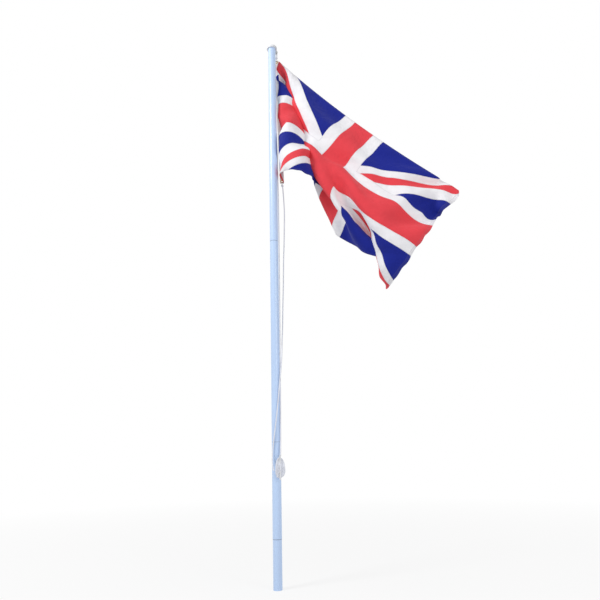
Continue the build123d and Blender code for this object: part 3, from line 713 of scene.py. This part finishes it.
def mouldedNylon(name, colour, dirt, roughness):
    # moulded or turned nylon: an even satin skin with a fine pebble and a little grime in small patches
    material = newMaterial(name)
    add = partial(addNode, material)
    place = add("TexCoord").outputs["Object"]
    pebble = add("TexNoise", place, Scale=perMetre(nylonLook["pebble"]), Detail=2.0)
    cloud = add("TexNoise", place, Scale=perMetre(nylonLook["grime"]), Detail=5.0, Roughness=0.65)
    grime = soiledShare(material, cloud, nylonLook["grimeLevel"], nylonLook["grimeShare"])
    tone = add("Mix RGBA", grime, linear(colour), linear(dirt))
    rough = add("Math ADD", add("Math MULTIPLY", cloud, nylonLook["roughSpread"]), roughness - nylonLook["roughDrop"])
    return finishMaterial(material, [(pebble, 0.00002)], Base_Color=tone, IOR=1.53, Roughness=rough)


# The heading's tape, in metres but for its soiled patches in mm: its lean over its height, where its edge would
# cross z = 0, its ribs and its rows of stitches from that edge.
tape = {
    "lean": 26 / 934, "edge": 0.040 + 3.290 * 26 / 934, "rib": 0.0015, "ribSlope": 1.7, "rows": (-0.003, -0.0225),
    "stitchWidth": 0.0007, "stitchStep": 0.004, "stitch": 0.62, "stitchShare": 0.55, "stitchColour": "#8C8890",
    "colour": "#E9E7E6", "soil": 42, "soilLevel": 0.45, "soilShare": 1.2, "soilColour": "#B4B0B2",
}


def canvasTape():
    # cotton-polyester heading tape: a coarse diagonal twill, 1.5 mm to a rib, with two rows of stitches
    material = newMaterial("wovenCanvasTape")
    add = partial(addNode, material)
    place = add("TexCoord").outputs["Object"]
    x, _, z = add("SeparateXYZ", place).outputs
    ribs = add("Math SINE", add("Math MULTIPLY", add("Math ADD", z, add("Math MULTIPLY", x, tape["ribSlope"])),
                                2 * pi / tape["rib"]))
    # the tape leans over its height, so its stitches are lines at an even place across it
    fromEdge = add("Math SUBTRACT", add("Math ADD", x, add("Math MULTIPLY", z, tape["lean"])), tape["edge"])
    rows = add("Math MAXIMUM", *[
        add("Math LESS_THAN", add("Math ABSOLUTE", add("Math SUBTRACT", fromEdge, row)), tape["stitchWidth"])
        for row in tape["rows"]])
    dashes = add("Math LESS_THAN", add("Math FRACT", add("Math MULTIPLY", z, 1 / tape["stitchStep"])), tape["stitch"])
    stitches = add("Math MULTIPLY", rows, dashes)
    cloud = add("TexNoise", place, Scale=perMetre(tape["soil"]), Detail=5.0)
    soil = soiledShare(material, cloud, tape["soilLevel"], tape["soilShare"])
    colour = add("Mix RGBA", soil, linear(tape["colour"]), linear(tape["soilColour"]))
    sewn = add("Math MULTIPLY", stitches, tape["stitchShare"])
    colour = add("Mix RGBA", sewn, colour, linear(tape["stitchColour"]))
    return finishMaterial(material, [(ribs, 0.0001), (add("Math MULTIPLY", stitches, -1.0), 0.0003)],
                          Base_Color=colour, IOR=1.55, Roughness=0.85, Sheen_Weight=0.1)


finishes = {
    "pole_enamel": enamelledSteel(),
    "bare_tube": brushedMetal("millFinishAluminium", "#C9CBCE", "#A2A4A8", 0.4, 1.1),
    "white_plastic": mouldedNylon("mouldedWhiteNylon", "#E4E6EA", "#A9A8A6", 0.42),
    "steel": brushedMetal("zincPlatedSteel", "#BFC2C4", "#8F9296", 0.38, 0.8),
    "nylon": mouldedNylon("turnedWhiteNylon", "#DADCDE", "#A7A59F", 0.5),
    "brass": brushedMetal("pressedBrass", "#C9A24E", "#8A6B2F", 0.34, 0.65),
    "clip_steel": brushedMetal("bentStainlessWire", "#C6C8CB", "#96999D", 0.3, 0.55),
    "heading_tape": canvasTape(),
    "rope": ropeFibre,
    "flag_fabric": bunting,
}
for part in frame["record"]["subparts"]:
    piece, finish = nodes[part["node"]], finishes[part["material_slot"]]
    if piece.material_slots:
        for slot in piece.material_slots:
            slot.material = finish
    else:
        piece.data.materials.append(finish)
print("finishes given")


# the studio: a pale floor, a white surround and two soft lamps. Places and sizes are in metres, power in watts
studio = {
    "key": {"at": (-3.4, -2.2, 5.2), "target": (0.4, 0, 2.3), "size": 1.6, "power": 160.0},
    "fill": {"at": (3.0, -3.4, 2.4), "target": (0.3, 0, 2.0), "size": 2.4, "power": 52.0},
    "surroundLight": 0.5, "board": "#F4F4F4", "surround": "#FFFFFF", "boardSize": 120, "floorGlow": 0.78,
    "fadeStart": 0.6, "fadeWidth": 4.6,
}


def seenDirectly(owner):
    # 1 for what the camera sees, also in a mirror or through glass, and 0 for light that falls on a piece
    eye = addNode(owner, "LightPath").outputs
    throughOthers = addNode(owner, "Math MAXIMUM", eye["Is Glossy Ray"], eye["Is Transmission Ray"])
    return addNode(owner, "Math MAXIMUM", eye["Is Camera Ray"], throughOthers)


def studioFloor():
    # matt pale board that fades to the white surround, so it shows no edge but keeps the shadow
    material = newMaterial("matPaleFloor")
    add = partial(addNode, material)
    far = add("VectorMath LENGTH", add("TexCoord").outputs["Object"])
    outside = add("Math SUBTRACT", far, studio["fadeStart"])
    fade = add("Math MULTIPLY", outside, 1 / studio["fadeWidth"], use_clamp=True)
    glow = add("Math ADD", add("Math MULTIPLY", fade, 1 - studio["floorGlow"]), studio["floorGlow"])
    matt = add("BsdfDiffuse", linear(studio["board"]))
    white = add("Emission", linear(studio["surround"]), 1.0)
    add("OutputMaterial", add("MixShader", add("Math MULTIPLY", seenDirectly(material), glow), matt, white))
    return material


bpy.ops.mesh.primitive_plane_add(size=studio["boardSize"])
floor = bpy.context.object
floor.name = "studio_floor"
floor.data.materials.append(studioFloor())

world = bpy.context.scene.world or bpy.data.worlds.new("world")
bpy.context.scene.world = world
world.use_nodes = True
world.node_tree.nodes.clear()
brighter = addNode(world, "Math MULTIPLY", seenDirectly(world), 1 - studio["surroundLight"])
level = addNode(world, "Math ADD", brighter, studio["surroundLight"])  # white to the eye, dimmer as a light
addNode(world, "OutputWorld", addNode(world, "Background", linear(studio["surround"]), level))


def softLamp(name, at, target, size, power):
    lamp = bpy.data.lights.new(name, "AREA")
    lamp.shape, lamp.size, lamp.energy = "DISK", size, power
    holder = bpy.data.objects.new(name, lamp)
    bpy.context.scene.collection.objects.link(holder)
    turned = (Vector(target) - Vector(at)).to_track_quat("-Z", "Y").to_matrix().to_4x4()
    holder.matrix_world = Matrix.Translation(at) @ turned


softLamp("keyLamp", **studio["key"])
softLamp("fillLamp", **studio["fill"])
bpy.context.scene.view_settings.view_transform = "Standard"
print("studio lit")
